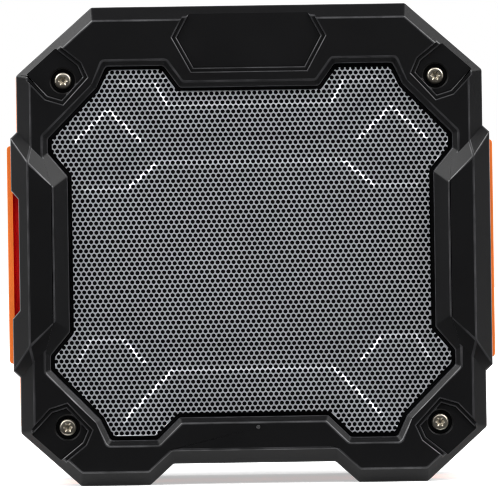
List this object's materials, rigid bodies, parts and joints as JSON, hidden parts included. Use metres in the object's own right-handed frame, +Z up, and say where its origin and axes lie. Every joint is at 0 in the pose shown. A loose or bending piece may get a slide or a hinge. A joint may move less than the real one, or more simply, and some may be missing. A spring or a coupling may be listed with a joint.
{
  "type": "bluetooth speaker",
  "caption": "Square rugged portable speaker with chamfered black frames, an orange middle band, an embossed perforated grille, top buttons, a side port door and a side slot.",
  "frame": {"origin": "centre of the footprint on the floor, under the feet", "axes": "+Z up, -Y towards the front grille, +X to the right seen from the front"},
  "size_m": [0.1444, 0.07, 0.1414],
  "materials": {
    "black_plastic": "satin moulded black plastic",
    "orange_plastic": "satin moulded orange plastic",
    "grille_steel": "perforated sheet steel, satin grey paint",
    "black_cloth": "fine black acoustic cloth",
    "bright_steel": "zinc plated steel",
    "dark_steel": "plain steel",
    "black_rubber": "matt black rubber",
    "foam": "closed-cell sealing foam",
    "paper": "coated paper cone",
    "spider_cloth": "resin-stiffened cloth",
    "copper": "copper winding on a former",
    "ferrite": "sintered ferrite",
    "board": "green circuit board",
    "brown_board": "brown paper-laminate strip with tinned lugs",
    "cell_wrap": "shrink-wrapped battery cell",
    "clear_plastic": "clear light pipe",
    "wire_jacket": "flexible wire insulation"
  },
  "bodies": {
    "case": {"front_frame": "black_plastic", "grille": "grille_steel", "grille_cloth": "black_cloth", "front_screws": "bright_steel", "baffle": "black_plastic", "front_gasket": "foam", "housing": "orange_plastic", "rear_frame": "black_plastic", "rear_cover": "black_plastic", "rear_gasket": "foam", "rear_screws": "bright_steel", "driver_basket": "dark_steel", "driver_gasket": "foam", "driver_screws": "bright_steel", "surround": "black_rubber", "spider": "spider_cloth", "top_plate": "bright_steel", "magnet": "ferrite", "yoke": "bright_steel", "terminal_strip": "brown_board", "control_panel": "black_rubber", "button_board": "board", "tact_switches": "bright_steel", "button_board_screws": "bright_steel", "main_board": "board", "charging_socket": "bright_steel", "aux_socket": "black_plastic", "main_board_screws": "bright_steel", "port_door_pin": "bright_steel", "battery_tray": "black_plastic", "battery_cells": "cell_wrap", "status_light_pipe": "clear_plastic", "status_light_board": "board", "speaker_leads": "wire_jacket", "battery_leads": "wire_jacket", "button_leads": "wire_jacket", "status_leads": "wire_jacket"},
    "power_button": {"power_button": "black_rubber"},
    "pair_button": {"pair_button": "black_rubber"},
    "volume_down_button": {"volume_down_button": "black_rubber"},
    "play_button": {"play_button": "black_rubber"},
    "volume_up_button": {"volume_up_button": "black_rubber"},
    "port_door": {"port_door": "black_rubber"},
    "cone_assembly": {"cone": "paper", "dust_cap": "paper", "voice_coil": "copper"}
  },
  "joints": [
    {"name": "power_button_press", "type": "slide", "parent": "case", "child": "power_button", "axis": [0, 0, -1], "range_m": [0, 0.001], "stiffness_N_per_m": 1500},
    {"name": "pair_button_press", "type": "slide", "parent": "case", "child": "pair_button", "axis": [0, 0, -1], "range_m": [0, 0.001], "stiffness_N_per_m": 1500},
    {"name": "volume_down_button_press", "type": "slide", "parent": "case", "child": "volume_down_button", "axis": [0, 0, -1], "range_m": [0, 0.001], "stiffness_N_per_m": 1500},
    {"name": "play_button_press", "type": "slide", "parent": "case", "child": "play_button", "axis": [0, 0, -1], "range_m": [0, 0.001], "stiffness_N_per_m": 1500},
    {"name": "volume_up_button_press", "type": "slide", "parent": "case", "child": "volume_up_button", "axis": [0, 0, -1], "range_m": [0, 0.001], "stiffness_N_per_m": 1500},
    {"name": "port_door_hinge", "type": "hinge", "parent": "case", "child": "port_door", "pos_m": [0.071, 0, 0.0483], "axis": [0, 1, 0], "range_deg": [0, 95]},
    {"name": "cone_stroke", "type": "slide", "parent": "case", "child": "cone_assembly", "axis": [0, -1, 0], "range_m": [-0.002, 0.002], "stiffness_N_per_m": 2000, "deforming": ["surround", "spider"]}
  ]
}
